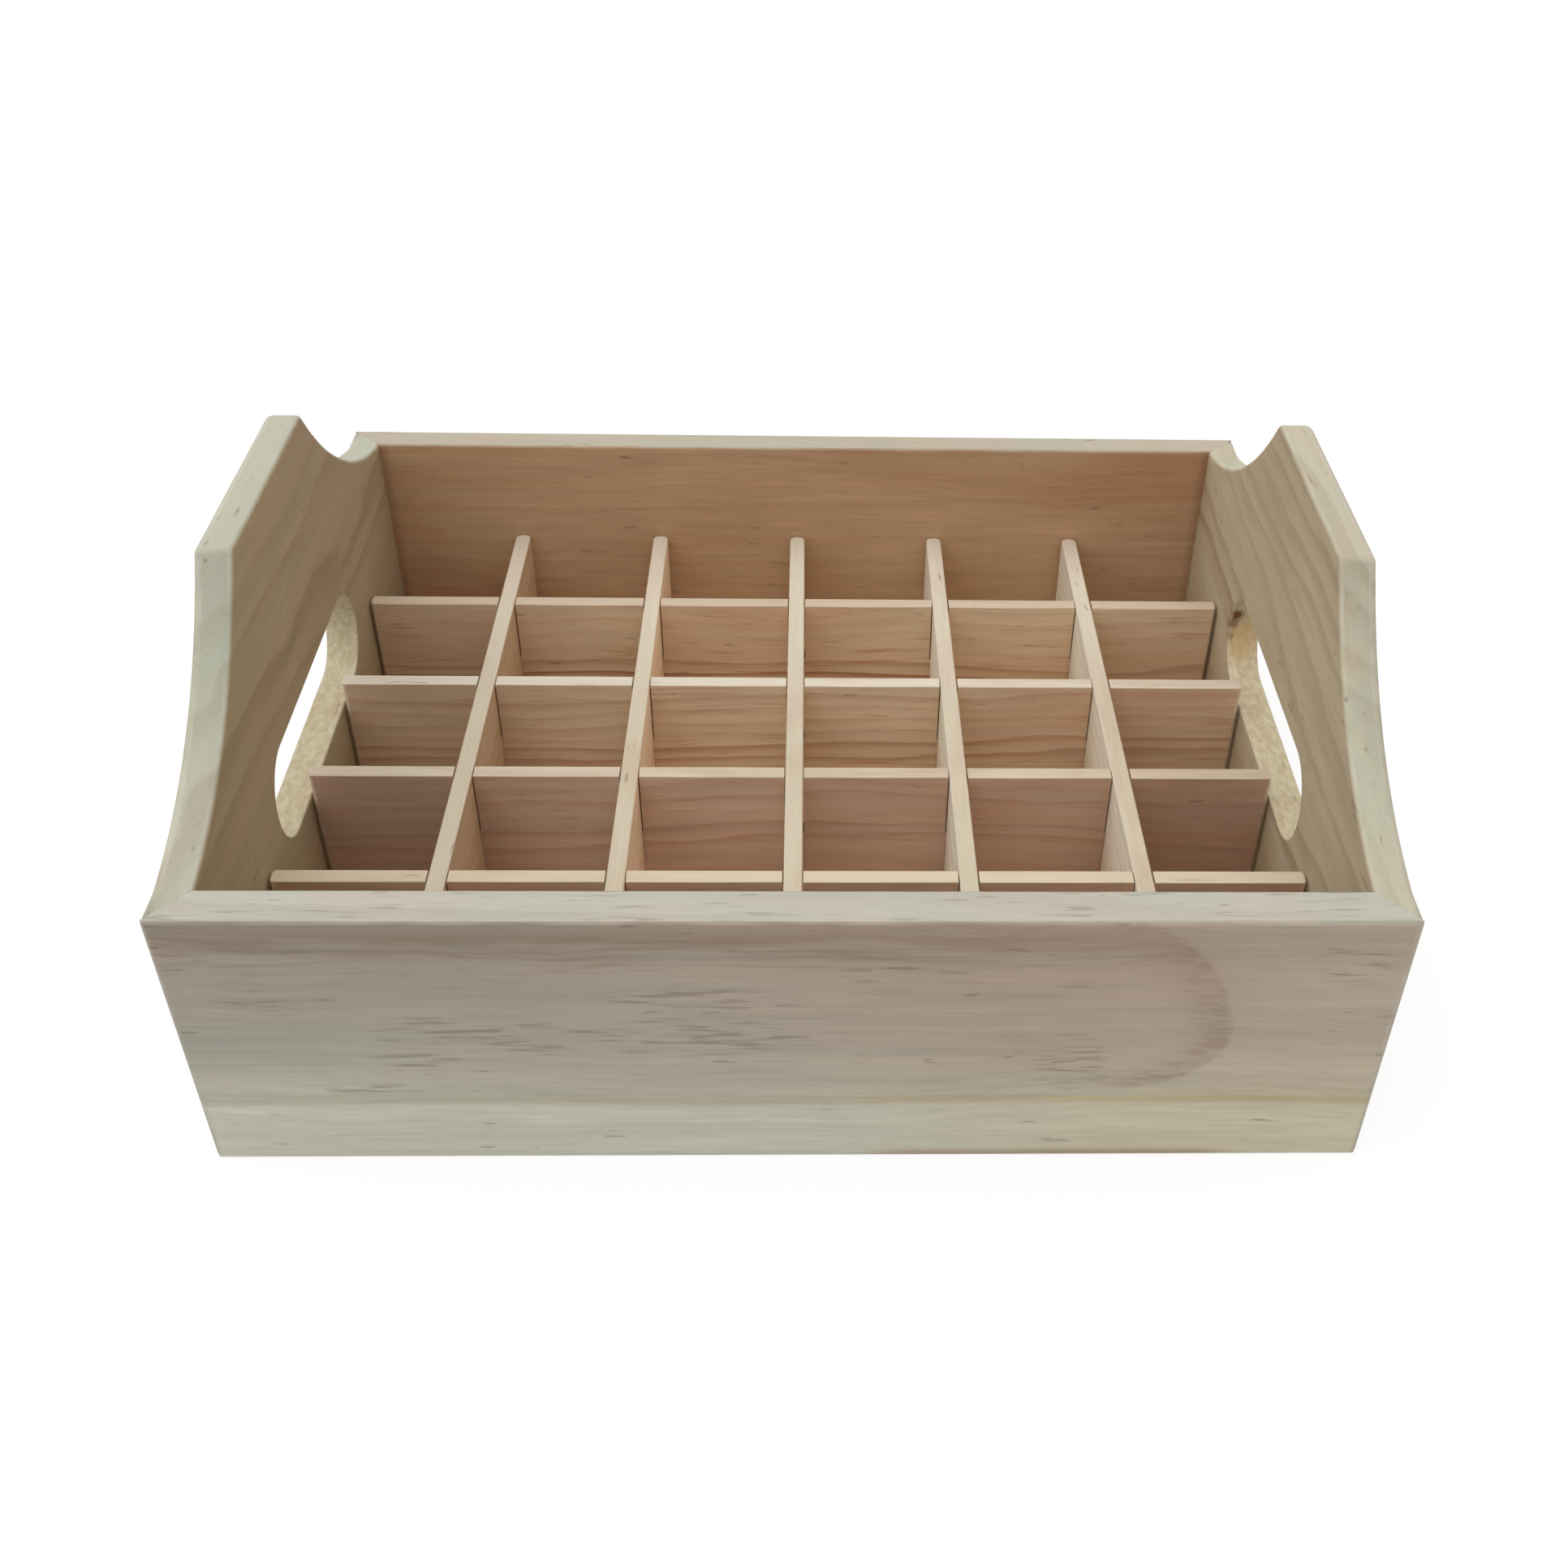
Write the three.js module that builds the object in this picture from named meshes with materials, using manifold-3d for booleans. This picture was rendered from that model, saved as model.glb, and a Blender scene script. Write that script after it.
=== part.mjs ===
// Essential oil case: an open pine caddy with a lift-out grid of half-lapped dividers.
// Millimetres, +Z up. The origin is on the table, under the middle of the case.
// +X runs to the right along the front, +Y runs from the front to the back.

import * as THREE from 'three';
import { mergeVertices } from 'three/addons/utils/BufferGeometryUtils.js';
import Module from 'manifold-3d';

const wasm = await Module();
wasm.setup();

// Bottle cells and the dividers between them
const cellSize = 34;              // clear side of one square cell
const cellColumns = 6;            // cells from left to right
const cellRows = 5;               // cells from front to back
const dividerThickness = 4;
const dividerHeight = 31.5;
const dividerEase = 0.4;          // chamfer along the edges of a divider
const rowEndGap = 0.8;            // end of a row divider to the end panel
const columnEndGap = 0.4;         // end of a column divider to the front or back board
const lapGap = 0.3;               // play at each side of a half-lap and between its two floors
const seatGap = 0.3;              // dividers above the bottom panel

// Walls of the case
const wallThickness = 8;          // end panels and back board
const frontThickness = 9.5;       // front board
const rimHeight = 65;             // top of the front and back boards
const wallEase = 0.6;             // chamfer along the edges of the walls
const glueLine = 0.2;             // between the two faces of a mitre

// End panels, which rise above the rim as handles
const handleRise = 37;            // flat top above the rim
const flatTopLength = 62;
const scoopSag = 6.7;             // how far each scoop dips below its chord
const shoulderRadius = 3;         // round between a scoop and the flat top
const slotLength = 84;
const slotHeight = 22;
const slotCentreHeight = 43;    // above the table

// Bottom panel, held in a groove all round
const bottomThickness = 3;
const bottomRecess = 4;           // underside above the table
const grooveDepth = 4;
const grooveGap = 0.3;            // play around the panel in its groove

// Brads, driven through the end panels into the front and back boards
const bradLength = 15;
const bradShankDiameter = 1.2;
const bradHeadDiameter = 2;
const bradHeadThickness = 0.8;
const bradPointLength = 2;
const bradSink = 0.4;             // head below the outer face
const bradInset = 16;             // from the table to the low brad, and from the rim to the high one
const bradGap = 0.3;              // play around a brad in its hole

// Steps on round stretches
const arcSteps = 8;
const bradSides = 12;

// Worked out from the sizes above
const dividerPitch = cellSize + dividerThickness;
const innerWidth = cellColumns * dividerPitch - dividerThickness;
const innerDepth = cellRows * dividerPitch - dividerThickness;
const outerWidth = innerWidth + 2 * wallThickness;
const outerDepth = innerDepth + frontThickness + wallThickness;
const innerMiddle = (frontThickness - wallThickness) / 2;  // the cells lie this far behind the middle of the case
const handleTop = rimHeight + handleRise;
const bottomTop = bottomRecess + bottomThickness;
const grooveFloor = bottomRecess - grooveGap;
const grooveRoof = bottomTop + grooveGap;
const dividerBase = bottomTop + seatGap;
const bradHeights = { low: bradInset, high: rimHeight - bradInset };

const wallPine = new THREE.MeshStandardMaterial({ color: 0xc9b591, roughness: 0.72, metalness: 0 });
const dividerPine = new THREE.MeshStandardMaterial({ color: 0xd3b48a, roughness: 0.7, metalness: 0 });
const basePly = new THREE.MeshStandardMaterial({ color: 0xc2a077, roughness: 0.75, metalness: 0 });
const bradSteel = new THREE.MeshStandardMaterial({ color: 0x9a9ca0, roughness: 0.4, metalness: 1 });

// Outlines are drawn flat and extruded along their third axis, which these frames lay along X or Y.
const axisX = new THREE.Vector3(1, 0, 0);
const axisY = new THREE.Vector3(0, 1, 0);
const axisZ = new THREE.Vector3(0, 0, 1);
const drawnInYZ = new THREE.Matrix4().makeBasis(axisY, axisZ, axisX);
const drawnInXZ = new THREE.Matrix4().makeBasis(axisX, axisZ, axisY.clone().negate());

// An outline extruded to a thickness, centred on its own plane, with its edges chamfered by ease.
function extruded(shape, thickness, ease, frame) {
  const geometry = new THREE.ExtrudeGeometry(shape, {
    depth: thickness - 2 * ease,
    bevelEnabled: ease > 0,
    bevelThickness: ease,
    bevelSize: ease,
    bevelOffset: -ease,
    bevelSegments: 1,
    curveSegments: arcSteps,
  });
  geometry.translate(0, 0, ease - thickness / 2);
  return geometry.applyMatrix4(frame);
}

function solidOf(geometry) {
  const bare = geometry.clone();
  bare.deleteAttribute('normal');
  bare.deleteAttribute('uv');
  const merged = mergeVertices(bare);
  return new wasm.Manifold(new wasm.Mesh({
    numProp: 3,
    vertProperties: new Float32Array(merged.attributes.position.array),
    triVerts: new Uint32Array(merged.index.array),
  }));
}

function geometryOf(solid) {
  const cut = solid.getMesh();
  const geometry = new THREE.BufferGeometry();
  geometry.setAttribute('position', new THREE.BufferAttribute(cut.vertProperties, 3));
  geometry.setIndex(new THREE.BufferAttribute(cut.triVerts, 1));
  geometry.computeVertexNormals();
  return geometry;
}

function cutAway(geometry, cutters) {
  const solid = cutters.reduce((rest, cutter) => rest.subtract(solidOf(cutter)), solidOf(geometry));
  return geometryOf(solid);
}

function boardThickness(sideY) {
  return sideY < 0 ? frontThickness : wallThickness;
}

// A block that reaches half a glue line past the mitre plane of the corner at sideX, sideY.
// It covers the end panel's side of the mitre, or with onPanel false the front or back board's side.
function mitreBlock(sideX, sideY, onPanel) {
  const size = 2 * (wallThickness + boardThickness(sideY));
  const corner = new THREE.Vector2(sideX * outerWidth / 2, sideY * outerDepth / 2);
  const panelward = new THREE.Vector2(sideX * boardThickness(sideY), -sideY * wallThickness).normalize();
  const offset = (size - glueLine) / 2;
  const middle = corner.addScaledVector(panelward, onPanel ? offset : -offset);
  const block = new THREE.BoxGeometry(size, size, 3 * handleTop);
  block.rotateZ(panelward.angle());
  return block.translate(middle.x, middle.y, 0);
}

// Half outline of a brad around its axis, from its point up to the top of its head at zero.
function bradGeometry() {
  const shank = bradShankDiameter / 2;
  const head = bradHeadDiameter / 2;
  const outline = [
    new THREE.Vector2(0, -bradLength),
    new THREE.Vector2(shank, bradPointLength - bradLength),
    new THREE.Vector2(shank, -bradHeadThickness),
    new THREE.Vector2(head, -bradHeadThickness),
    new THREE.Vector2(head, 0),
    new THREE.Vector2(0, 0),
  ];
  return new THREE.LatheGeometry(outline, bradSides);
}

function bradHole() {
  const shank = bradShankDiameter / 2 + bradGap;
  const head = bradHeadDiameter / 2 + bradGap;
  const mouth = 2 * bradSink + bradGap;
  const outline = [
    new THREE.Vector2(0, -bradLength - bradGap),
    new THREE.Vector2(shank, -bradLength - bradGap),
    new THREE.Vector2(shank, -bradHeadThickness - bradGap),
    new THREE.Vector2(head, -bradHeadThickness - bradGap),
    new THREE.Vector2(head, mouth),
    new THREE.Vector2(0, mouth),
  ];
  return new THREE.LatheGeometry(outline, bradSides);
}

function bradPlace(sideX, sideY, height) {
  const position = new THREE.Vector3(
    sideX * (outerWidth / 2 - bradSink),
    sideY * (outerDepth - boardThickness(sideY)) / 2,
    height,
  );
  const turn = new THREE.Quaternion().setFromAxisAngle(axisZ, -sideX * Math.PI / 2);
  return new THREE.Matrix4().compose(position, turn, new THREE.Vector3(1, 1, 1));
}

function bradHolesAt(sideX, sideY) {
  return Object.values(bradHeights).map((height) => bradHole().applyMatrix4(bradPlace(sideX, sideY, height)));
}

// Front or back board: one profile with its groove, run across the case and mitred at both ends.
function boardGeometry(sideY) {
  const outer = sideY * outerDepth / 2;
  const inner = outer - sideY * boardThickness(sideY);
  const grooveBed = inner + sideY * grooveDepth;
  const ease = sideY * wallEase;
  const profile = new THREE.Shape([
    new THREE.Vector2(outer - ease, 0),
    new THREE.Vector2(inner, 0),
    new THREE.Vector2(inner, grooveFloor),
    new THREE.Vector2(grooveBed, grooveFloor),
    new THREE.Vector2(grooveBed, grooveRoof),
    new THREE.Vector2(inner, grooveRoof),
    new THREE.Vector2(inner, rimHeight - wallEase),
    new THREE.Vector2(inner + ease, rimHeight),
    new THREE.Vector2(outer - ease, rimHeight),
    new THREE.Vector2(outer, rimHeight - wallEase),
    new THREE.Vector2(outer, wallEase),
  ]);
  const blank = extruded(profile, outerWidth, 0, drawnInYZ);
  const cutters = [-1, 1].flatMap((sideX) => [mitreBlock(sideX, sideY, true), ...bradHolesAt(sideX, sideY)]);
  return cutAway(blank, cutters);
}

// One scoop rises as a concave arc from the rim at the wall's inner face towards the end of the flat top,
// and a round shoulder eases the corner between them.
function scoopArcs() {
  const start = new THREE.Vector2(-innerDepth / 2, rimHeight);
  const end = new THREE.Vector2(-flatTopLength / 2, handleTop);
  const chord = end.clone().sub(start);
  const radius = chord.lengthSq() / (8 * scoopSag) + scoopSag / 2;
  const upward = new THREE.Vector2(-chord.y, chord.x).normalize();
  const centre = start.clone().add(end).multiplyScalar(0.5).addScaledVector(upward, radius - scoopSag);
  const shoulderHeight = handleTop - shoulderRadius;
  const shoulderReach = Math.sqrt((radius + shoulderRadius) ** 2 - (shoulderHeight - centre.y) ** 2);
  const shoulder = new THREE.Vector2(centre.x + shoulderReach, shoulderHeight);
  const low = start.clone().sub(centre).angle();
  const high = shoulder.clone().sub(centre).angle();
  return { centre, radius, shoulder, low, high };
}

// The outline is drawn around the middle of the cells, and its blank ends reach past both boards.
function endPanelOutline() {
  const blankEnd = innerDepth / 2 + frontThickness + wallThickness;
  const { centre, radius, shoulder, low, high } = scoopArcs();
  const outline = new THREE.Shape();
  outline.moveTo(-blankEnd, 0);
  outline.lineTo(blankEnd, 0);
  outline.lineTo(blankEnd, rimHeight);
  outline.absarc(-centre.x, centre.y, radius, Math.PI - low, Math.PI - high, true);
  outline.absarc(-shoulder.x, shoulder.y, shoulderRadius, -high, Math.PI / 2, false);
  outline.absarc(shoulder.x, shoulder.y, shoulderRadius, Math.PI / 2, Math.PI + high, false);
  outline.absarc(centre.x, centre.y, radius, high, low, true);
  outline.lineTo(-blankEnd, rimHeight);
  outline.closePath();

  const slotRadius = slotHeight / 2;
  const slotEnd = slotLength / 2 - slotRadius;
  const slot = new THREE.Path();
  slot.absarc(slotEnd, slotCentreHeight, slotRadius, -Math.PI / 2, Math.PI / 2, false);
  slot.absarc(-slotEnd, slotCentreHeight, slotRadius, Math.PI / 2, 3 * Math.PI / 2, false);
  slot.closePath();
  outline.holes.push(slot);
  return outline;
}

// Left or right end panel: the scooped and slotted outline, grooved inside and mitred at both ends.
function endPanelGeometry(sideX) {
  const blank = extruded(endPanelOutline(), wallThickness, wallEase, drawnInYZ);
  blank.translate(sideX * (outerWidth - wallThickness) / 2, innerMiddle, 0);
  const groove = new THREE.BoxGeometry(2 * grooveDepth, 2 * outerDepth, grooveRoof - grooveFloor);
  groove.translate(sideX * innerWidth / 2, 0, (grooveFloor + grooveRoof) / 2);
  const ends = [-1, 1].flatMap((sideY) => [mitreBlock(sideX, sideY, false), ...bradHolesAt(sideX, sideY)]);
  return cutAway(blank, [groove, ...ends]);
}

function bottomPanelGeometry() {
  const reach = 2 * (grooveDepth - grooveGap);
  const panel = new THREE.BoxGeometry(innerWidth + reach, innerDepth + reach, bottomThickness);
  return panel.translate(0, innerMiddle, bottomRecess + bottomThickness / 2);
}

// Middles of the dividers that part a span into cells, counted from the left or the front.
function dividerMiddles(cells) {
  return Array.from({ length: cells - 1 }, (_, index) => (index + 1 - cells / 2) * dividerPitch);
}

// Strip with half-lap notches at the crossings, cut from its top edge or from its bottom edge.
function dividerShape(length, crossings, notchedTop) {
  const notch = dividerThickness / 2 + lapGap;
  const top = dividerBase + dividerHeight;
  const middle = dividerBase + dividerHeight / 2;
  const notchedEdge = notchedTop ? top : dividerBase;
  const plainEdge = notchedTop ? dividerBase : top;
  const lapFloor = notchedTop ? middle - lapGap / 2 : middle + lapGap / 2;
  const shape = new THREE.Shape();
  shape.moveTo(-length / 2, plainEdge);
  shape.lineTo(-length / 2, notchedEdge);
  for (const crossing of crossings) {
    shape.lineTo(crossing - notch, notchedEdge);
    shape.lineTo(crossing - notch, lapFloor);
    shape.lineTo(crossing + notch, lapFloor);
    shape.lineTo(crossing + notch, notchedEdge);
  }
  shape.lineTo(length / 2, notchedEdge);
  shape.lineTo(length / 2, plainEdge);
  shape.closePath();
  return shape;
}

function addMesh(group, name, geometry, material) {
  const mesh = new THREE.Mesh(geometry, material);
  mesh.name = name;
  group.add(mesh);
  return mesh;
}

function makeWalls() {
  const walls = new THREE.Group();
  addMesh(walls, 'front_board', boardGeometry(-1), wallPine);
  addMesh(walls, 'back_board', boardGeometry(1), wallPine);
  addMesh(walls, 'left_end_panel', endPanelGeometry(-1), wallPine);
  addMesh(walls, 'right_end_panel', endPanelGeometry(1), wallPine);
  addMesh(walls, 'bottom_panel', bottomPanelGeometry(), basePly);
  return walls;
}

function makeBrads() {
  const brads = new THREE.Group();
  const geometry = bradGeometry();
  for (const [front, sideY] of [['front', -1], ['back', 1]]) {
    for (const [left, sideX] of [['left', -1], ['right', 1]]) {
      for (const [level, height] of Object.entries(bradHeights)) {
        const brad = addMesh(brads, `brad_${front}_${left}_${level}`, geometry, bradSteel);
        brad.applyMatrix4(bradPlace(sideX, sideY, height));
      }
    }
  }
  return brads;
}

function makeDividerGrid() {
  const grid = new THREE.Group();
  grid.position.y = innerMiddle;
  const rowMiddles = dividerMiddles(cellRows);
  const columnMiddles = dividerMiddles(cellColumns);
  const rowShape = dividerShape(innerWidth - 2 * rowEndGap, columnMiddles, true);
  const columnShape = dividerShape(innerDepth - 2 * columnEndGap, rowMiddles, false);
  const row = extruded(rowShape, dividerThickness, dividerEase, drawnInXZ);
  const column = extruded(columnShape, dividerThickness, dividerEase, drawnInYZ);
  rowMiddles.forEach((middle, index) => {
    addMesh(grid, `row_divider_${index + 1}`, row, dividerPine).position.y = middle;
  });
  columnMiddles.forEach((middle, index) => {
    addMesh(grid, `column_divider_${index + 1}`, column, dividerPine).position.x = middle;
  });
  return grid;
}

const oilCase = new THREE.Group();
oilCase.add(makeWalls(), makeBrads(), makeDividerGrid());

export default oilCase;
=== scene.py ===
import math
from types import SimpleNamespace

import bmesh
import bpy
from mathutils import Matrix, Vector


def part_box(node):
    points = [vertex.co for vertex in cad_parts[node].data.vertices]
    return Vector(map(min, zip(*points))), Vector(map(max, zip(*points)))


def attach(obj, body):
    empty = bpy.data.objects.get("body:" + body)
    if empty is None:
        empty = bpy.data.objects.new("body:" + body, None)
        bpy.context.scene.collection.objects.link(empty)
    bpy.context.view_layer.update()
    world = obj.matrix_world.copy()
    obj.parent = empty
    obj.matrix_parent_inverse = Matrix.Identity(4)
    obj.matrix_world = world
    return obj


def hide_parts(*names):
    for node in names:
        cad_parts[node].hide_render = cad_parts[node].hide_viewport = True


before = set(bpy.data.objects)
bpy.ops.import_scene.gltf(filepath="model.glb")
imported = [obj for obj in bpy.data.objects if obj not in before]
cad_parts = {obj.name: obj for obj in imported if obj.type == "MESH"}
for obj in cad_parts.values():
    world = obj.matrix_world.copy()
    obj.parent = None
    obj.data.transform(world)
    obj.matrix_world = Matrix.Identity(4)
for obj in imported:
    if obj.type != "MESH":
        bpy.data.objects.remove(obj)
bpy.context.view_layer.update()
mm = 0.001


def nodesNamed(start):
    return [node for node in sorted(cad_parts) if node.startswith(start)]


# Node helpers

def put(tree, kind, inputs=None, **settings):  # an input is a value or the socket that feeds it
    made = tree.nodes.new(kind)
    for key, value in settings.items():
        setattr(made, key, value)
    for key, value in (inputs or {}).items():
        if isinstance(value, bpy.types.NodeSocket):
            tree.links.new(value, made.inputs[key])
        else:
            made.inputs[key].default_value = value
    return made


def treeOf(values):  # the node tree that the first socket among them lies in
    return next(value.id_data for value in values if isinstance(value, bpy.types.NodeSocket))


def calc(operation, *values):
    return put(treeOf(values), "ShaderNodeMath", dict(enumerate(values)), operation=operation).outputs[0]


def vectorCalc(operation, inputs):
    return put(treeOf(inputs.values()), "ShaderNodeVectorMath", inputs, operation=operation).outputs


def times(first, *others):
    for other in others:
        first = calc("MULTIPLY", first, other)
    return first


def minus(first, second):
    return calc("SUBTRACT", first, second)


def addScaled(value, scale, onto):
    return calc("MULTIPLY_ADD", value, scale, onto)


def apart(first, second):
    return calc("ABSOLUTE", minus(first, second))


def fade(value, low, high, start=0.0, end=1.0):  # soft step from start at low to end at high
    ends = {"Value": value, "From Min": low, "From Max": high, "To Min": start, "To Max": end}
    return put(value.id_data, "ShaderNodeMapRange", ends, interpolation_type="SMOOTHSTEP").outputs[0]


def split(vector):
    return put(vector.id_data, "ShaderNodeSeparateXYZ", {0: vector}).outputs


def cloud(vector, scale, seed, detail=2.0, roughness=0.5):  # noise around zero, scaled each way
    scaled = vectorCalc("MULTIPLY", {0: vector, 1: scale})[0]
    inputs = {"Vector": scaled, "W": seed, "Scale": 1.0, "Detail": detail, "Roughness": roughness}
    noise = put(vector.id_data, "ShaderNodeTexNoise", inputs, noise_dimensions="4D").outputs["Fac"]
    return minus(noise, 0.5)


def tinted(share, under, over):  # the Mix node's colour sockets are 6, 7 and, going out, 2
    settings = {"data_type": "RGBA", "blend_type": "MIX", "clamp_factor": True}
    return put(share.id_data, "ShaderNodeMix", {0: share, 6: under, 7: over}, **settings).outputs[2]


def colour(red, green, blue):  # picture values from 0 to 255, as the shader's linear colour
    def linear(value):
        share = value / 255
        return share / 12.92 if share <= 0.04045 else ((share + 0.055) / 1.055) ** 2.4
    return (linear(red), linear(green), linear(blue), 1.0)


def startGroup(name, inputs, outputs):
    group = bpy.data.node_groups.new(name, "ShaderNodeTree")
    for label, kind in inputs:
        group.interface.new_socket(name=label, in_out="INPUT", socket_type="NodeSocket" + kind)
    for label in outputs:
        group.interface.new_socket(name=label, in_out="OUTPUT", socket_type="NodeSocketFloat")
    return group, group.nodes.new("NodeGroupInput").outputs, group.nodes.new("NodeGroupOutput").inputs


def place(group, inputs):
    return put(treeOf(inputs.values()), "ShaderNodeGroup", inputs, node_tree=group).outputs


def startMaterial(name):
    material = bpy.data.materials.new(name)
    material.use_nodes = True
    return material, material.node_tree, material.node_tree.nodes["Principled BSDF"]


def addRelief(shader, height, look):
    tree = height.id_data
    inputs = {"Height": height, "Strength": look["reliefStrength"], "Distance": look["reliefDistance"]}
    tree.links.new(put(tree, "ShaderNodeBump", inputs).outputs[0], shader.inputs["Normal"])


# Effects that the wood materials share. Grain is in millimetres: X along the grain, Y through, Z across.
# A noise scale has one number for each of these, and a fade has the two values that it runs between.

ringShape = {
    "sway": (0.009, 0.035, 0.035),  # broad waver of the rings
    "swayShare": 2.0,
    "ripple": (0.03, 0.2, 0.2),  # fine waver
    "rippleShare": 0.35,
    "lateFade": (0.25, 0.86),  # a ring darkens slowly
    "lateEnd": (0.88, 1.0),  # and stops short
    "toneStep": 13.7,  # keeps the ring tones of two pieces apart
}
fibreShape = {
    "wander": (0.018, 0.03, 0.03),  # fibres are never quite straight
    "wanderReach": 7.0,
    "clouds": {  # scale, detail and roughness
        "Fibre": ((0.05, 1.7, 1.7), 3.0, 0.65),
        "Thread": ((0.032, 0.7, 0.7), 3.0, 0.6),
        "Streak": ((0.006, 0.22, 0.22), 3.0, 0.6),
        "Bloom": ((0.012, 0.03, 0.03), 1.0, 0.5),
        "Patch": ((0.05, 0.15, 0.15), 2.0, 0.5),
    },
    "dash": (0.12, 0.68, 0.68),  # pores are short dashes
    "dashFade": (0.15, 0.26),
    "flock": (0.02, 0.06, 0.06),  # that lie in flocks
    "flockFade": (-0.05, 0.12),
}
handlingShape = {
    "rub": (0.08, 0.3, 0.3),
    "rubFade": (-0.2, 0.15),
    "smudge": (0.02, 0.05, 0.05),
    "smudgeFade": (0.0, 0.3),
}


def buildGrowthRings():
    tree, given, out = startGroup(
        "growthRings",
        [("Grain", "Vector"), ("Heart Depth", "Float"), ("Heart Height", "Float"), ("Lean", "Float"),
         ("Spacing", "Float"), ("Waver", "Float"), ("Seed", "Float")],
        ["Latewood", "Ring Tone"])
    axes = split(given["Grain"])
    sway = cloud(given["Grain"], ringShape["sway"], given["Seed"])
    ripple = cloud(given["Grain"], ringShape["ripple"], given["Seed"])
    sway = times(sway, ringShape["swayShare"])
    sway = addScaled(ripple, ringShape["rippleShare"], sway)
    leaning = times(axes["X"], given["Lean"])  # the heart runs at a slant to the board
    deep = calc("ADD", minus(axes["Y"], given["Heart Depth"]), leaning)
    across = minus(axes["Z"], given["Heart Height"])
    reach = calc("SQRT", calc("ADD", times(deep, deep), times(across, across)))
    turns = calc("DIVIDE", addScaled(sway, given["Waver"], reach), given["Spacing"])
    part = calc("FRACT", turns)
    ended = fade(part, *ringShape["lateEnd"], 1.0, 0.0)
    late = times(fade(part, *ringShape["lateFade"]), ended)
    ringSeed = addScaled(given["Seed"], ringShape["toneStep"], calc("FLOOR", turns))
    tone = put(tree, "ShaderNodeTexWhiteNoise", {"W": ringSeed}, noise_dimensions="1D").outputs["Value"]
    tree.links.new(late, out["Latewood"])
    tree.links.new(tone, out["Ring Tone"])
    return tree


def buildWoodFibres():
    tree, given, out = startGroup(
        "woodFibres", [("Grain", "Vector"), ("Seed", "Float")], [*fibreShape["clouds"], "Fleck"])
    wander = cloud(given["Grain"], fibreShape["wander"], given["Seed"], detail=1.0)
    wander = times(wander, fibreShape["wanderReach"])
    aside = put(tree, "ShaderNodeCombineXYZ", {"Y": wander, "Z": wander}).outputs[0]
    grain = vectorCalc("ADD", {0: given["Grain"], 1: aside})[0]
    for label, (scale, detail, roughness) in fibreShape["clouds"].items():
        tree.links.new(cloud(grain, scale, given["Seed"], detail, roughness), out[label])
    dash = cloud(grain, fibreShape["dash"], given["Seed"], detail=1.0)
    dash = fade(dash, *fibreShape["dashFade"])
    flock = cloud(grain, fibreShape["flock"], given["Seed"], detail=1.0)
    flock = fade(flock, *fibreShape["flockFade"])
    tree.links.new(times(dash, flock), out["Fleck"])
    return tree


def buildHandling():
    tree, given, out = startGroup(
        "handling", [("Grain", "Vector"), ("Arris", "Float"), ("Seed", "Float")], ["Wear", "Soil"])
    rub = cloud(given["Grain"], handlingShape["rub"], given["Seed"])
    smudge = cloud(given["Grain"], handlingShape["smudge"], given["Seed"], detail=3.0, roughness=0.6)
    wear = times(given["Arris"], fade(rub, *handlingShape["rubFade"]))
    tree.links.new(wear, out["Wear"])
    tree.links.new(fade(smudge, *handlingShape["smudgeFade"]), out["Soil"])
    return tree


growthRings = buildGrowthRings()
woodFibres = buildWoodFibres()
handling = buildHandling()
print("shared effects built")


# Pine

pineLook = {  # what every wooden piece has unless its own look says otherwise
    "through": "Y",  # axis through the thickness of the piece
    "early": colour(198, 182, 156),  # soft wood between the rings, on the broad faces
    "late": colour(164, 138, 110),  # harder, darker ring ends
    "blush": colour(184, 154, 126),  # warm broad streaks
    "edge": colour(192, 190, 176),  # sawn edges and tops
    "edgePatch": colour(197, 188, 175),  # their second tone, in patches
    "endShade": 0.84,  # end grain is darker
    "fleck": colour(112, 86, 68),  # short dark pores
    "worn": colour(220, 212, 192),  # rubbed arrises
    "turned": (1, (1.0, 1.0, 1.0)),  # painted light and shade: faces that look this way along "through" have their colour scaled
    "lateShare": 0.8,
    "edgeLateShare": 0.3,
    "blushShare": 0.6,
    "fleckShare": 0.45,
    "fibreDepth": 0.25,
    "threadDepth": 0.3,
    "streakDepth": 0.4,
    "heart": (60.0, -120.0),  # depth and height of the heart of the log, in mm
    "lean": 0.05,
    "spacing": 5.0,
    "waver": 5.0,
    "seed": 1.0,
    "roughness": 0.66,
}
pineBlend = {  # how those are mixed, on every piece alike
    "turnedFade": (0.3, 0.7),  # how squarely a face looks to the side with painted light and shade
    "broadFade": (0.6, 0.97),  # or out through the thickness
    "endFade": (0.2, 1.0),  # or along the grain
    "weakRing": 0.1,
    "bloomShare": 1.6,
    "blushFade": (-0.15, 0.45),
    "patchFade": (-0.15, 0.3),
    "fibreSeed": 20.0,  # added to the seed of the piece
    "wearSeed": 40.0,
    "edgeCalm": 0.35,  # share of the streaks that the narrow faces keep
    "wornShare": 0.3,
    "fibreRough": 0.25,
    "wearRough": -0.12,
    "soilRough": -0.06,
    "fibreHeight": 0.6,
    "poreHeight": -0.8,
    "ringHeight": 0.25,
    "dentHeight": -4.0,
    "reliefStrength": 0.5,
    "reliefDistance": 0.12 * mm,
    "specular": 0.3,
}


def addFacing(wood, normal):  # which way each face looks
    look = wood.look
    wood.looking = times(split(normal)[look["through"]], look["turned"][0])
    square = split(vectorCalc("ABSOLUTE", {0: normal})[0])
    wood.broad = fade(square[look["through"]], *pineBlend["broadFade"])
    wood.atEnd = square["Y" if look["through"] == "X" else "X"]


def onNarrow(wood):  # 1 on the narrow faces
    return minus(1.0, wood.broad)


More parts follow.
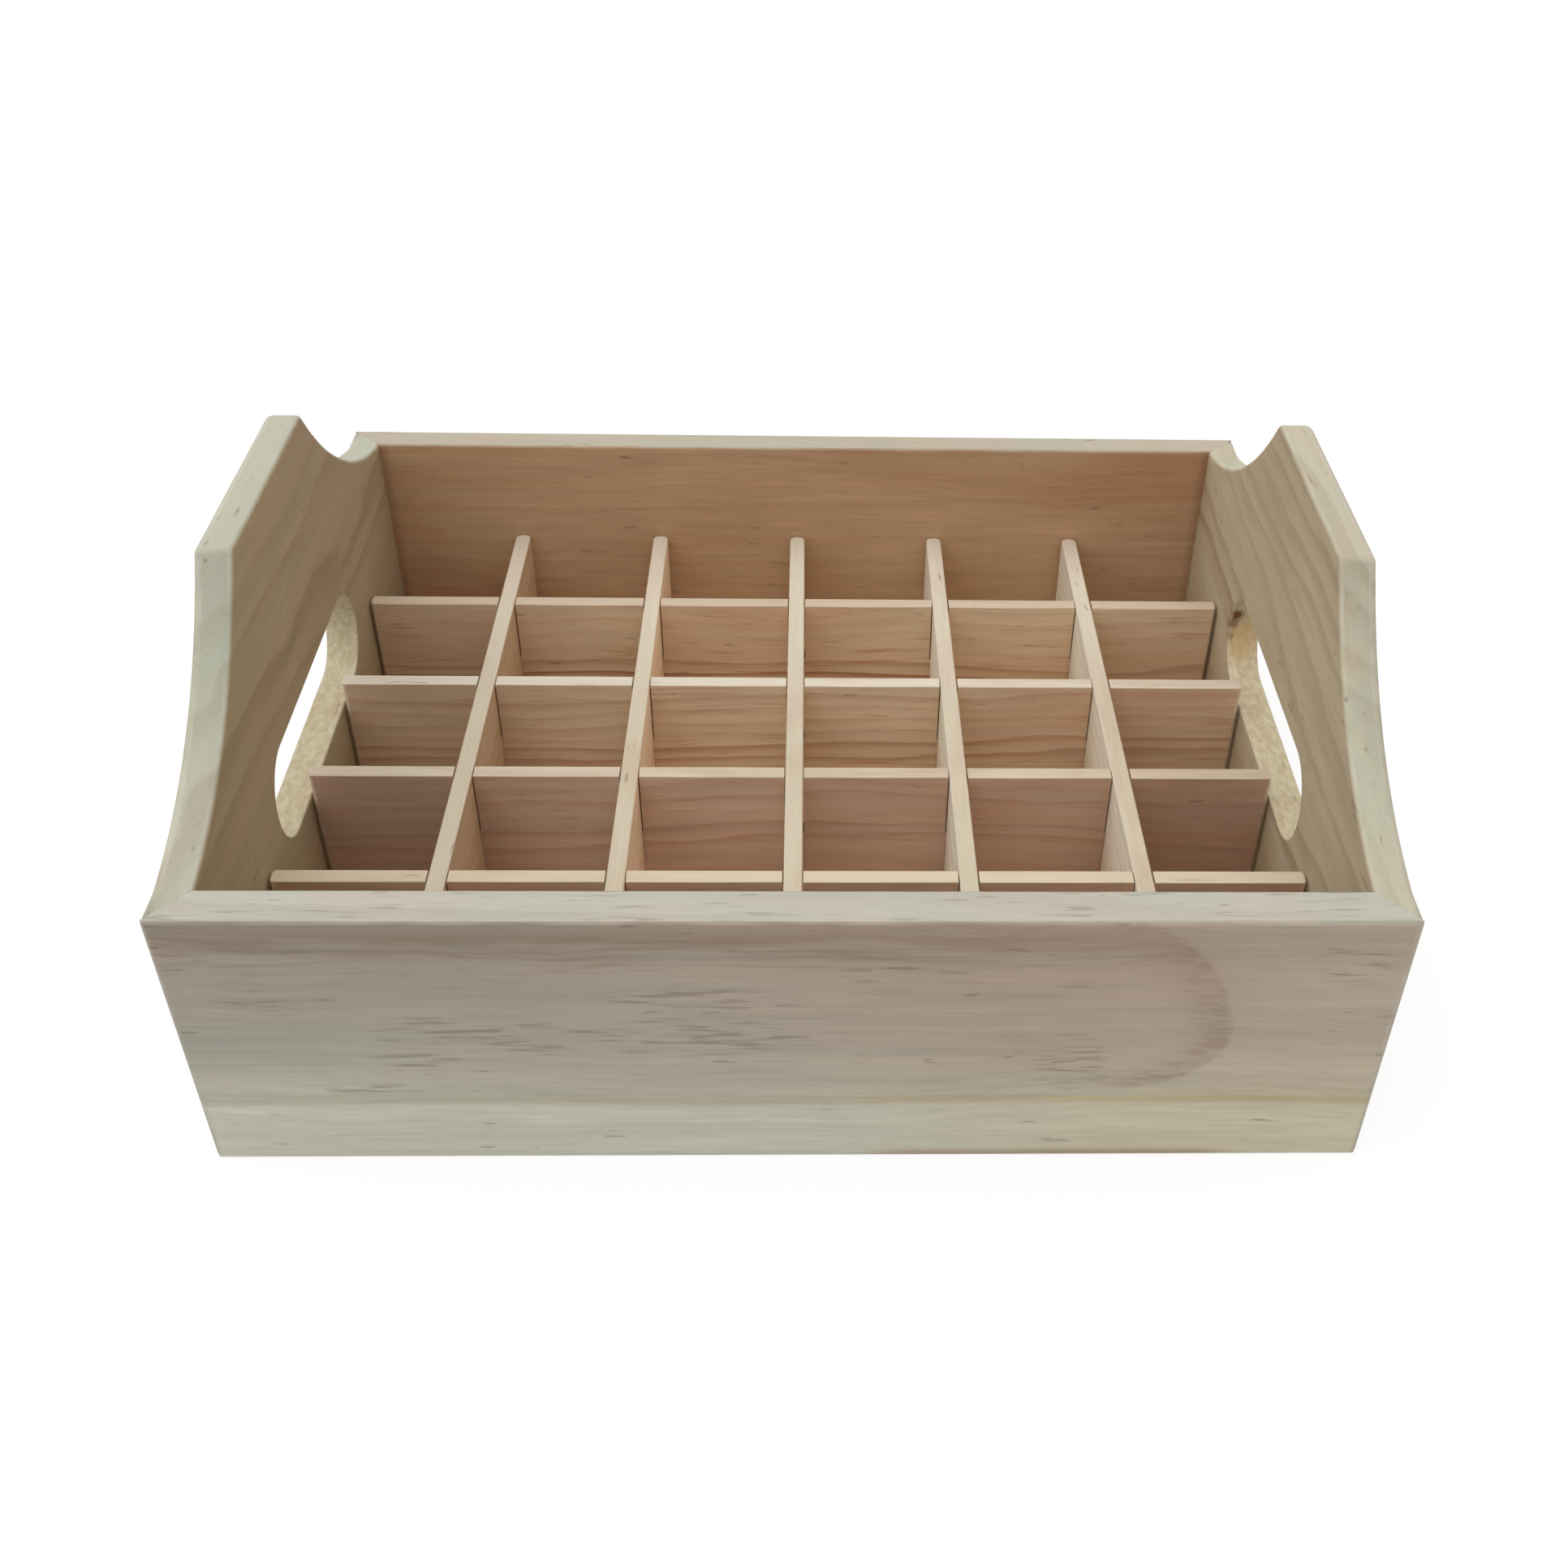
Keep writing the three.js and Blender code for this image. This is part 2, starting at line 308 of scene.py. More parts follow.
def broadColour(wood, lateness):  # rings, warm streaks, and the painted light and shade of one side
    look, fibres = wood.look, wood.fibres
    face = tinted(times(lateness, look["lateShare"]), look["early"], look["late"])
    warm = addScaled(fibres["Bloom"], pineBlend["bloomShare"], fibres["Streak"])
    warm = fade(warm, *pineBlend["blushFade"], 0.0, look["blushShare"])
    face = tinted(warm, face, look["blush"])
    turned = fade(wood.looking, *pineBlend["turnedFade"])
    scale = tinted(turned, (1.0, 1.0, 1.0, 1.0), (*look["turned"][1], 1.0))
    return vectorCalc("MULTIPLY", {0: face, 1: scale})[0]


def narrowColour(wood, lateness):  # two tones in patches, and darker end grain
    look, fibres = wood.look, wood.fibres
    patch = calc("ADD", fibres["Patch"], fibres["Bloom"])
    edge = tinted(fade(patch, *pineBlend["patchFade"]), look["edge"], look["edgePatch"])
    edge = tinted(times(lateness, look["edgeLateShare"]), edge, look["late"])
    shade = fade(wood.atEnd, *pineBlend["endFade"], 1.0, look["endShade"])
    return vectorCalc("SCALE", {0: edge, "Scale": shade})[0]


def startPine(name, **changes):
    look = {**pineLook, **changes}
    material, tree, shader = startMaterial(name)
    spot = tree.nodes.new("ShaderNodeTexCoord").outputs
    turn = (0.0, 0.0, -math.pi / 2 if look["through"] == "X" else 0.0)
    toGrain = {"Vector": spot["Object"], "Rotation": turn, "Scale": (1 / mm,) * 3}
    grain = put(tree, "ShaderNodeMapping", toGrain).outputs[0]
    heartDepth, heartHeight = look["heart"]
    rings = place(growthRings, {
        "Grain": grain, "Heart Depth": heartDepth, "Heart Height": heartHeight, "Lean": look["lean"],
        "Spacing": look["spacing"], "Waver": look["waver"], "Seed": look["seed"]})
    fibres = place(woodFibres, {"Grain": grain, "Seed": look["seed"] + pineBlend["fibreSeed"]})
    wood = SimpleNamespace(
        material=material, tree=tree, shader=shader, look=look, grain=grain, rings=rings, fibres=fibres,
        pores=times(fibres["Fleck"], look["fleckShare"]), dents=0.0)
    addFacing(wood, spot["Normal"])
    tone = times(rings["Ring Tone"], rings["Ring Tone"])
    strength = addScaled(tone, 1 - pineBlend["weakRing"], pineBlend["weakRing"])
    lateness = times(rings["Latewood"], strength)
    wood.base = tinted(wood.broad, narrowColour(wood, lateness), broadColour(wood, lateness))
    return wood


def stain(wood, tint, *shares):
    wood.base = tinted(times(*shares), wood.base, tint)


def addFibres(wood):  # light and dark fibres, then the pores
    look, fibres = wood.look, wood.fibres
    shade = times(fibres["Thread"], look["threadDepth"])
    shade = addScaled(fibres["Streak"], look["streakDepth"], shade)
    calm = addScaled(wood.broad, 1 - pineBlend["edgeCalm"], pineBlend["edgeCalm"])
    shade = times(shade, calm)
    shade = calc("ADD", addScaled(fibres["Fibre"], look["fibreDepth"], 1.0), shade)
    wood.base = vectorCalc("SCALE", {0: wood.base, "Scale": shade})[0]
    stain(wood, look["fleck"], wood.pores)


def surfaceHeight(wood):
    height = times(wood.pores, pineBlend["poreHeight"])
    height = addScaled(wood.fibres["Fibre"], pineBlend["fibreHeight"], height)
    height = addScaled(wood.rings["Latewood"], pineBlend["ringHeight"], height)
    return addScaled(wood.dents, pineBlend["dentHeight"], height)


def finishPine(wood):  # fibres, wear, gloss and relief
    tree, look, shader = wood.tree, wood.look, wood.shader
    addFibres(wood)
    arris = put(tree, "ShaderNodeAttribute", attribute_name="arris").outputs["Fac"]
    marks = place(handling, {
        "Grain": wood.grain, "Arris": arris, "Seed": look["seed"] + pineBlend["wearSeed"]})
    stain(wood, look["worn"], marks["Wear"], pineBlend["wornShare"])
    tree.links.new(wood.base, shader.inputs["Base Color"])
    rough = addScaled(wood.fibres["Fibre"], pineBlend["fibreRough"], look["roughness"])
    rough = addScaled(marks["Wear"], pineBlend["wearRough"], rough)
    rough = addScaled(marks["Soil"], pineBlend["soilRough"], rough)
    tree.links.new(rough, shader.inputs["Roughness"])
    addRelief(shader, surfaceHeight(wood), pineBlend)
    shader.inputs["Specular IOR Level"].default_value = pineBlend["specular"]
    return wood.material


print("pine ready")


# Mesh helpers

near = 0.01 * mm  # points this close lie on the same corner or level
mergeReach = 0.001 * mm
sawReach = 1e-7  # a saw cut takes points this close, in metres, as on it
squareLook = 0.9  # a face looks along an axis when its normal has this much of it
flatLook = 0.9995  # and is flat enough there to stay crisp


def startBlank():
    bm = bmesh.new()
    bm.faces.layers.float.new("arris")  # marks the eased edges for the wear
    return bm


def everything(bm):
    return bm.verts[:] + bm.edges[:] + bm.faces[:]


def onlyVerts(items):
    return [item for item in items if isinstance(item, bmesh.types.BMVert)]


def faceOut(bm):
    bmesh.ops.recalc_face_normals(bm, faces=bm.faces[:])


def thicken(bm, faces, move):  # closed slab from flat faces
    grown = bmesh.ops.extrude_face_region(bm, geom=faces)
    bmesh.ops.translate(bm, verts=onlyVerts(grown["geom"]), vec=move)
    faceOut(bm)


def easeEdges(bm, edges, radius, steps):
    arris = bm.faces.layers.float["arris"]
    rounded = bmesh.ops.bevel(bm, geom=edges, offset=radius, offset_type="OFFSET", affect="EDGES",
                              segments=steps, profile=0.5, material=-1, clamp_overlap=True)
    for face in rounded["faces"]:
        face[arris] = 1.0


def trimOff(bm, point, outward):  # saw off what lies past a plane and close the cut
    bmesh.ops.bisect_plane(bm, geom=everything(bm), dist=sawReach, plane_co=point, plane_no=outward,
                           clear_outer=True)
    bmesh.ops.holes_fill(bm, edges=[edge for edge in bm.edges if edge.is_boundary], sides=0)


def addObject(name, data):
    made = bpy.data.objects.new(name, data)
    bpy.context.scene.collection.objects.link(made)
    return made


def addMesh(name, bm):
    mesh = bpy.data.meshes.new(name)
    bm.to_mesh(mesh)
    bm.free()
    return addObject(name, mesh)


def finishPiece(bm, name, node, body, material):
    faceOut(bm)
    piece = addMesh(name, bm)
    piece.data.materials.append(material)
    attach(piece, body)
    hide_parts(node)
    return piece


def smoothCurves(piece):  # flat faces stay crisp, rounded ones are shaded smooth
    for face in piece.data.polygons:
        face.use_smooth = max(abs(part) for part in face.normal) < flatLook


def drill(piece, cutter):
    hole = piece.modifiers.new("bradHoles", "BOOLEAN")
    hole.operation = "DIFFERENCE"
    hole.solver = "EXACT"
    hole.object = cutter
    solid = piece.data
    drilled = piece.evaluated_get(bpy.context.evaluated_depsgraph_get())
    piece.data = bpy.data.meshes.new_from_object(drilled)
    piece.data.name = piece.name
    piece.modifiers.clear()
    bpy.data.meshes.remove(solid)


# Walls

wallCut = {
    "easeOut": 0.7 * mm,  # round along the outer edges
    "easeIn": 0.6 * mm,
    "easePanelOut": 2.0 * mm,  # the same on the end panels, where hands reach
    "easePanelIn": 0.9 * mm,
    "easeSlot": 0.5 * mm,
    "easeSteps": 3,
    "cornerRadius": 2.0 * mm,  # sanded round on the outside of a corner
    "cornerSteps": 7,
    "spare": 12 * mm,  # blank past each end, sawn off by the mitre
    "mitreGap": 0.02 * mm,  # at each side of the mitre
    "grooveDepth": 4 * mm,
    "grooveGap": 0.3 * mm,
}
panelCut = {
    "flatTop": 62 * mm,
    "scoopSag": 6.7 * mm,  # how far a scoop dips below its chord
    "scoopSteps": 28,
    "shoulder": 3 * mm,  # round between a scoop and the flat top
    "shoulderSteps": 6,
    "slotLength": 84 * mm,
    "slotHeight": 22 * mm,
    "slotCentre": 43 * mm,
    "slotSteps": 28,
}
frontLow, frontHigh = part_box("front_board")
backLow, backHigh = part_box("back_board")
leftLow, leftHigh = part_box("left_end_panel")
baseLow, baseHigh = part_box("bottom_panel")
rimHeight, handleTop = frontHigh.z, leftHigh.z
outerX, innerX = -leftLow.x, -leftHigh.x
outerY = {-1: frontLow.y, 1: backHigh.y}  # outer and inner faces of the front and back boards
innerY = {-1: frontHigh.y, 1: backLow.y}
cellMiddle = (innerY[-1] + innerY[1]) / 2
cellReach = (innerY[1] - innerY[-1]) / 2
grooveFloor, grooveRoof = baseLow.z - wallCut["grooveGap"], baseHigh.z + wallCut["grooveGap"]


def mitrePlane(sideX, sideY, onPanel):  # a point on the sawn face and the way off the wood
    corner = Vector((sideX * outerX, outerY[sideY], 0))
    boardThickness, panelThickness = abs(outerY[sideY] - innerY[sideY]), outerX - innerX
    panelward = Vector((sideX * boardThickness, -sideY * panelThickness, 0)).normalized()
    off = -panelward if onPanel else panelward
    return corner - off * wallCut["mitreGap"], off


def sawCorner(bm, sideX, sideY, onPanel):  # mitre, then the sanded round on the outside of the corner
    trimOff(bm, *mitrePlane(sideX, sideY, onPanel))
    radius = wallCut["cornerRadius"]
    centre = Vector((sideX * (outerX - radius), outerY[sideY] - sideY * radius, 0))
    for step in range(1, wallCut["cornerSteps"]):
        angle = math.radians(90) * step / wallCut["cornerSteps"]
        outward = Vector((sideX * math.cos(angle), sideY * math.sin(angle), 0))
        trimOff(bm, centre + outward * radius, outward)


def makeBoard(name, node, sideY, material):
    bm = startBlank()
    start, end = -outerX - wallCut["spare"], outerX + wallCut["spare"]
    outer, inner = outerY[sideY], innerY[sideY]
    deep = inner + sideY * wallCut["grooveDepth"]
    outerEdges = [(outer, 0), (outer, rimHeight)]
    innerEdges = [(inner, 0), (inner, rimHeight)]
    groove = [(inner, grooveFloor), (deep, grooveFloor), (deep, grooveRoof), (inner, grooveRoof)]
    outline = [outerEdges[0], innerEdges[0], *groove, innerEdges[1], outerEdges[1]]
    profile = bm.faces.new([bm.verts.new((start, y, z)) for y, z in outline])
    thicken(bm, [profile], (end - start, 0, 0))

    def longEdges(corners):
        found = []
        for edge in bm.edges:
            first, second = (vert.co for vert in edge.verts)
            atCorner = any(math.hypot(first.y - y, first.z - z) < near for y, z in corners)
            if atCorner and abs(first.x - second.x) > mm:
                found.append(edge)
        return found

    for corners, ease in ((outerEdges, "easeOut"), (innerEdges, "easeIn")):
        easeEdges(bm, longEdges(corners), wallCut[ease], wallCut["easeSteps"])
    for sideX in (-1, 1):
        sawCorner(bm, sideX, sideY, False)
    return finishPiece(bm, name, node, "case", material)


def drawPanelHalf(bm, x):  # back half of the scooped and slotted outline, around the middle of the cells
    def lineTo(start, y, z):
        end = bm.verts.new((x, y, z))
        bm.edges.new((start, end))
        return end

    def arcTo(start, y, z, angle, steps):
        swept = bmesh.ops.spin(bm, geom=[start], cent=(x, y, z), axis=(1, 0, 0), angle=angle, steps=steps)
        return onlyVerts(swept["geom_last"])[0]

    scoopStart, scoopEnd = Vector((cellReach, rimHeight)), Vector((panelCut["flatTop"] / 2, handleTop))
    chord = scoopEnd - scoopStart
    radius = chord.length_squared / (8 * panelCut["scoopSag"]) + panelCut["scoopSag"] / 2
    outward = Vector((chord.y, -chord.x)).normalized()
    scoop = (scoopStart + scoopEnd) / 2 + outward * (radius - panelCut["scoopSag"])
    shoulderZ = handleTop - panelCut["shoulder"]
    shoulderY = scoop.x - math.sqrt((radius + panelCut["shoulder"]) ** 2 - (shoulderZ - scoop.y) ** 2)
    scoopFrom = math.atan2(scoopStart.y - scoop.y, scoopStart.x - scoop.x)
    scoopTo = math.atan2(shoulderZ - scoop.y, shoulderY - scoop.x)
    shoulderFrom = scoopTo + math.pi
    blankEnd = cellReach + 2 * wallCut["spare"]
    slotRadius = panelCut["slotHeight"] / 2
    slotEnd = panelCut["slotLength"] / 2 - slotRadius

    first = bm.verts.new((x, 0, 0))
    pen = lineTo(first, blankEnd, 0)
    pen = lineTo(pen, blankEnd, rimHeight)
    pen = lineTo(pen, scoopStart.x, rimHeight)
    pen = arcTo(pen, scoop.x, scoop.y, scoopTo - scoopFrom, panelCut["scoopSteps"])
    pen = arcTo(pen, shoulderY, shoulderZ, math.pi / 2 - shoulderFrom, panelCut["shoulderSteps"])
    pen = lineTo(pen, 0, handleTop)
    pen = lineTo(pen, 0, panelCut["slotCentre"] + slotRadius)
    pen = lineTo(pen, slotEnd, panelCut["slotCentre"] + slotRadius)
    pen = arcTo(pen, slotEnd, panelCut["slotCentre"], -math.pi, panelCut["slotSteps"])
    pen = lineTo(pen, 0, panelCut["slotCentre"] - slotRadius)
    bm.edges.new((pen, first))


def easePanel(bm):
    rims = [edge for edge in bm.edges
            if sorted(abs(face.normal.x) > squareLook for face in edge.link_faces) == [False, True]]

    def inSlot(edge):
        return all(abs(vert.co.y - cellMiddle) < panelCut["slotLength"] / 2 + near
                   and abs(vert.co.z - panelCut["slotCentre"]) < panelCut["slotHeight"] / 2 + near
                   for vert in edge.verts)

    slotRims = [edge for edge in rims if inSlot(edge)]
    longRims = [edge for edge in rims if edge not in slotRims]
    outRims = [edge for edge in longRims if abs(edge.verts[0].co.x) > (outerX + innerX) / 2]
    inRims = [edge for edge in longRims if edge not in outRims]
    for edges, ease in ((slotRims, "easeSlot"), (outRims, "easePanelOut"), (inRims, "easePanelIn")):
        easeEdges(bm, edges, wallCut[ease], wallCut["easeSteps"])


def groovePanel(bm, sideX):
    for level in (grooveFloor, grooveRoof):
        bmesh.ops.bisect_plane(bm, geom=everything(bm), dist=sawReach, plane_co=(0, 0, level),
                               plane_no=(0, 0, 1))
    strip = [face for face in bm.faces if face.normal.x * sideX < -squareLook
             and grooveFloor < face.calc_center_median().z < grooveRoof]
    around = list({edge for face in strip for edge in face.edges})  # with these the old faces are dropped
    sunk = bmesh.ops.extrude_face_region(bm, geom=strip + around)
    bmesh.ops.translate(bm, vec=(sideX * wallCut["grooveDepth"], 0, 0), verts=onlyVerts(sunk["geom"]))


def makePanel(name, node, sideX, material):
    bm = startBlank()
    drawPanelHalf(bm, sideX * innerX)
    bmesh.ops.remove_doubles(bm, verts=bm.verts[:], dist=mergeReach)
    bmesh.ops.edgeloop_fill(bm, edges=bm.edges[:])
    bmesh.ops.mirror(bm, geom=everything(bm), matrix=Matrix.Identity(4), merge_dist=mergeReach, axis="Y")
    bmesh.ops.translate(bm, vec=(0, cellMiddle, 0), verts=bm.verts[:])
    thicken(bm, bm.faces[:], (sideX * (outerX - innerX), 0, 0))
    easePanel(bm)
    groovePanel(bm, sideX)
    for sideY in (-1, 1):
        sawCorner(bm, sideX, sideY, True)
    return finishPiece(bm, name, node, "case", material)


# Wood of the front board

frontFigure = {  # places on the board are along it and up it, in mm
    "drift": {"scale": (0.012, 0.05, 0.05), "seed": 61.0, "rise": 5.0},  # bends what follows the height
    "cool": {  # greyer left end
        "along": (-100.0, 50.0), "waver": 60.0, "share": 0.7, "colour": colour(180, 178, 166),
    },
    "belly": {"height": (32.0, 46.0), "along": (-110.0, 90.0), "share": 0.22},  # browner upper half
    "crown": {  # browner still towards the top, and a little paler again under the rim
        "height": (51.0, 64.0), "streak": 28.0, "along": (20.0, 100.0), "share": (0.75, 0.35),
        "rim": (60.0, 64.0), "rimShare": 0.55, "colour": colour(142, 118, 99),
    },
    "sap": {  # pale sapwood band along the lower edge, with painted bounce light from the floor fading into the wood above, and yellower at the right
        "top": 17.4, "edge": (14.9, 17.9), "share": 0.85, "glowReach": 18.0, "glowShare": 0.42,
        "colour": colour(222, 219, 200), "yellowing": (0.0, 100.0), "endColour": colour(222, 213, 182),
    },
    "sapLine": {  # yellow line at the top of that band
        "width": (0.2, 1.6), "along": (-60.0, 90.0), "share": (0.2, 0.65), "colour": colour(200, 182, 138),
    },
    "foot": {  # brown line along the bottom edge
        "height": (1.0, 3.0), "start": (10.0, 26.0), "end": (85.0, 95.0), "share": 0.55,
        "colour": colour(164, 132, 100),
    },
    "arch": {  # arched ring figure near the right end, darkest at its tip
        "centre": (62.0, 38.0), "reach": 24.6, "rise": 28.0, "drop": 17.5, "lean": 0.12, "waver": 0.12,
        "ragged": 0.25, "inner": (0.5, 0.97), "outer": (0.98, 1.05), "along": (48.0, 80.0), "tail": 0.1,
        "stripe": (0.2, 0.8, 0.8), "stripeSeed": 80.0, "stripeFade": (-0.12, 0.14), "weakStripe": 0.4,
        "share": 0.54, "colour": colour(152, 121, 103),
    },
    "pores": {  # fine dashes in oval patches, and a few on the rim
        "scale": (0.1, 0.95, 0.95), "seed": 90.0, "fade": (-0.01, 0.2), "share": 0.45,
        "rimFade": (0.1, 0.22), "rimShare": 0.3, "soft": 0.15,
        "patches": [  # middle and reach of each
            ((-99.0, 44.5), (14.0, 4.0)),
            ((-62.0, 36.5), (26.0, 6.0)),
            ((-45.0, 34.0), (28.0, 5.5)),
            ((-70.0, 27.5), (18.0, 5.0)),
            ((-84.0, 20.5), (12.0, 2.5)),
            ((-18.0, 44.5), (24.0, 6.0)),
            ((-14.0, 36.0), (28.0, 8.0)),
            ((22.0, 52.0), (16.0, 4.0)),
            ((56.0, 28.0), (9.0, 10.0)),
            ((108.0, 55.0), (10.0, 6.0)),
        ],
    },
}


def addCoolEnd(wood):
    cool = frontFigure["cool"]
    along = addScaled(wood.drift, cool["waver"], wood.along)
    stain(wood, cool["colour"], fade(along, *cool["along"], cool["share"], 0.0), wood.broad)


def addCrown(wood):  # belly and crown
    belly, crown = frontFigure["belly"], frontFigure["crown"]
    along, height, broad = wood.along, wood.height, wood.broad
    left = fade(along, *belly["along"], belly["share"], 0.0)
    stain(wood, crown["colour"], fade(height, *belly["height"]), left, broad)
    streaky = addScaled(wood.fibres["Thread"], crown["streak"], height)
    left = fade(along, *crown["along"], *crown["share"])
    underRim = fade(wood.up, *crown["rim"], 1.0, crown["rimShare"])
    stain(wood, crown["colour"], fade(streaky, *crown["height"]), left, underRim, broad)


def addSap(wood):  # sapwood with painted bounce light above it, the line at its top and the line at the foot of the board
    sap, line, foot = frontFigure["sap"], frontFigure["sapLine"], frontFigure["foot"]
    along, height, broad = wood.along, wood.height, wood.broad
    band = fade(height, *sap["edge"], sap["share"], 0.0)
    # painted light: a soft brightening fading up from the band, as bounce from the floor
    paintedBounce = fade(height, sap["top"], sap["top"] + sap["glowReach"], sap["glowShare"], 0.0)
    tint = tinted(fade(along, *sap["yellowing"]), sap["colour"], sap["endColour"])
    stain(wood, tint, calc("MAXIMUM", band, paintedBounce), broad)
    away = apart(height, sap["top"])
    share = fade(along, *line["along"], *line["share"])
    stain(wood, line["colour"], fade(away, *line["width"], 1.0, 0.0), share, broad)
    low = fade(wood.up, *foot["height"], foot["share"], 0.0)
    begun, ended = fade(along, *foot["start"]), fade(along, *foot["end"], 1.0, 0.0)
    stain(wood, foot["colour"], low, begun, ended)


def addArch(wood):
    arch = frontFigure["arch"]
    middle, level = arch["centre"]
    above = minus(wood.up, level)
    ahead = minus(addScaled(above, arch["lean"], wood.along), middle)
    ahead = calc("DIVIDE", calc("MAXIMUM", ahead, 0.0), arch["reach"])
    upper = calc("DIVIDE", calc("MAXIMUM", above, 0.0), arch["rise"])
    lower = calc("DIVIDE", calc("MINIMUM", above, 0.0), arch["drop"])
    rise = calc("ADD", upper, lower)
    reach = calc("SQRT", calc("ADD", times(ahead, ahead), times(rise, rise)))
    reach = addScaled(wood.drift, arch["waver"], reach)  # 1 on the outer line
    ragged = addScaled(wood.fibres["Thread"], arch["ragged"], reach)
    inner = fade(ragged, *arch["inner"])
    outer = fade(reach, *arch["outer"], 1.0, 0.0)
    strength = fade(wood.along, *arch["along"], arch["tail"], 1.0)
    stripe = cloud(wood.grain, arch["stripe"], arch["stripeSeed"])
    stripe = fade(stripe, *arch["stripeFade"], arch["weakStripe"], 1.0)
    stain(wood, arch["colour"], inner, outer, strength, stripe, arch["share"], wood.broad)


def addPores(wood):
    pores = frontFigure["pores"]

    def oval(middle, reach):  # 1 in the middle of an oval, 0 outside it
        first = calc("DIVIDE", minus(wood.along, middle[0]), reach[0])
        second = calc("DIVIDE", minus(wood.up, middle[1]), reach[1])
        gone = calc("ADD", times(first, first), times(second, second))
        return fade(gone, pores["soft"], 1.0, 1.0, 0.0)

    patches = 0.0
    for middle, reach in pores["patches"]:
        patches = calc("MAXIMUM", patches, oval(middle, reach))
    fine = cloud(wood.grain, pores["scale"], pores["seed"], detail=1.0)
    onFace = times(fade(fine, *pores["fade"]), patches, wood.broad, pores["share"])
    onRim = times(fade(fine, *pores["rimFade"]), onNarrow(wood), pores["rimShare"])
    for marks in (onFace, onRim):
        wood.pores = calc("MAXIMUM", wood.pores, marks)


def makeFrontPine(name, **changes):
    wood = startPine(name, **changes)
    drift = frontFigure["drift"]
    axes = split(wood.grain)
    wood.along, wood.up = axes["X"], axes["Z"]
    wood.drift = cloud(wood.grain, drift["scale"], drift["seed"])
    wood.height = addScaled(wood.drift, drift["rise"], wood.up)
    addCoolEnd(wood)
    addCrown(wood)
    addSap(wood)
    addArch(wood)
    addPores(wood)
    return finishPine(wood)


# Wood of the back board

paintedCornerShade = {  # painted shade: dark line in the corners at both ends of the inner face
    "along": (109.0, 111.6),  # from the middle of the board, in mm
    "inside": (-0.7, -0.3),  # how squarely a face looks to the front
    "share": 0.3,
    "colour": colour(96, 62, 40),
}


def makeBackPine(name, **changes):
    wood = startPine(name, **changes)
    out = calc("ABSOLUTE", split(wood.grain)["X"])
    # painted shade in the inner corners
    line = fade(out, *paintedCornerShade["along"], 0.0, paintedCornerShade["share"])
    inside = fade(wood.looking, *paintedCornerShade["inside"], 1.0, 0.0)
    stain(wood, paintedCornerShade["colour"], line, inside)
    return finishPine(wood)


# Wood of the end panels

slotWall = {  # tan, mottled wall of the hand slot
    "margin": (2.0, 1.5),  # reach past the slot along and up, in mm
    "mottle": (0.35, 0.7, 0.7),
    "seed": 70.0,
    "mottleFade": (-0.14, 0.16),
    "pale": colour(220, 208, 176),
    "dark": colour(199, 182, 145),
    "share": 0.88,
}
knotLook = {  # torn knot in the back end of the right hand slot
    "spots": [  # place and reach in mm, and share
        ((113.4, 42.5, 45.0), 2.6, 0.95),
        ((112.7, 42.7, 42.4), 2.4, 0.65),
        ((112.4, 42.2, 39.0), 1.8, 0.45),
    ],
    "spotColour": colour(104, 60, 35),
    "soft": 0.2,  # share of its reach where a spot starts to fade
    "halo": ((115.5, 41.5, 39.0), 9.0),
    "haloShare": 0.12,
    "haloInSlot": 0.42,  # what the slot's wall adds to it
    "haloColour": colour(216, 172, 114),
}


def addSlotWall(wood):
    axes = split(wood.grain)
    alongMargin, upMargin = slotWall["margin"]
    out = calc("ABSOLUTE", axes["X"])
    along = calc("LESS_THAN", out, panelCut["slotLength"] / 2 / mm + alongMargin)
    away = apart(axes["Z"], panelCut["slotCentre"] / mm)
    up = calc("LESS_THAN", away, panelCut["slotHeight"] / 2 / mm + upMargin)
    mottle = cloud(wood.grain, slotWall["mottle"], slotWall["seed"], detail=3.0, roughness=0.65)
    wall = tinted(fade(mottle, *slotWall["mottleFade"]), slotWall["dark"], slotWall["pale"])
    stain(wood, wall, along, up, onNarrow(wood), slotWall["share"])


def addKnot(wood):
    spot = wood.tree.nodes.new("ShaderNodeTexCoord").outputs["Object"]

    def around(middle, reach):  # 1 at a place, ragged towards its reach
        away = vectorCalc("DISTANCE", {0: spot, 1: [part * mm for part in middle]})["Value"]
        ragged = addScaled(wood.fibres["Fibre"], reach * mm, away)
        return fade(ragged, reach * mm * knotLook["soft"], reach * mm, 1.0, 0.0)

    share = addScaled(onNarrow(wood), knotLook["haloInSlot"], knotLook["haloShare"])
    stain(wood, knotLook["haloColour"], around(*knotLook["halo"]), share)
    for middle, reach, share in knotLook["spots"]:
        knot = times(around(middle, reach), share)
        stain(wood, knotLook["spotColour"], knot)
        wood.dents = calc("MAXIMUM", wood.dents, knot)


def makePanelPine(name, hasKnot, **changes):
    wood = startPine(name, through="X", **changes)
    addSlotWall(wood)
    if hasKnot:
        addKnot(wood)
    return finishPine(wood)


frontLook = {
    "seed": 1.0, "heart": (-260.0, 38.0), "spacing": 9.0, "lateShare": 0.3,
    "fibreDepth": 0.28, "threadDepth": 0.32, "streakDepth": 0.5, "fleck": colour(108, 90, 78),
    # painted shade: the inner face is warmer and darker, like the shaded inside of the box
    "turned": (1, (1.02, 0.9, 0.76)),
    "early": colour(194, 180, 161), "late": colour(170, 149, 131), "blush": colour(181, 157, 138),
}
backLook = {
    "seed": 2.0, "heart": (160.0, -150.0), "lateShare": 0.3, "threadDepth": 0.4, "fleckShare": 0.6,
    # painted shade: these colours are the warm, shaded inner face, and the faces looking out are scaled
    # paler
    "blushShare": 0.8, "turned": (1, (0.96, 1.2, 1.5)),
    "edge": colour(189, 182, 162), "edgePatch": colour(194, 180, 160),
    "early": colour(200, 165, 129), "late": colour(170, 124, 93), "blush": colour(180, 133, 99),
}
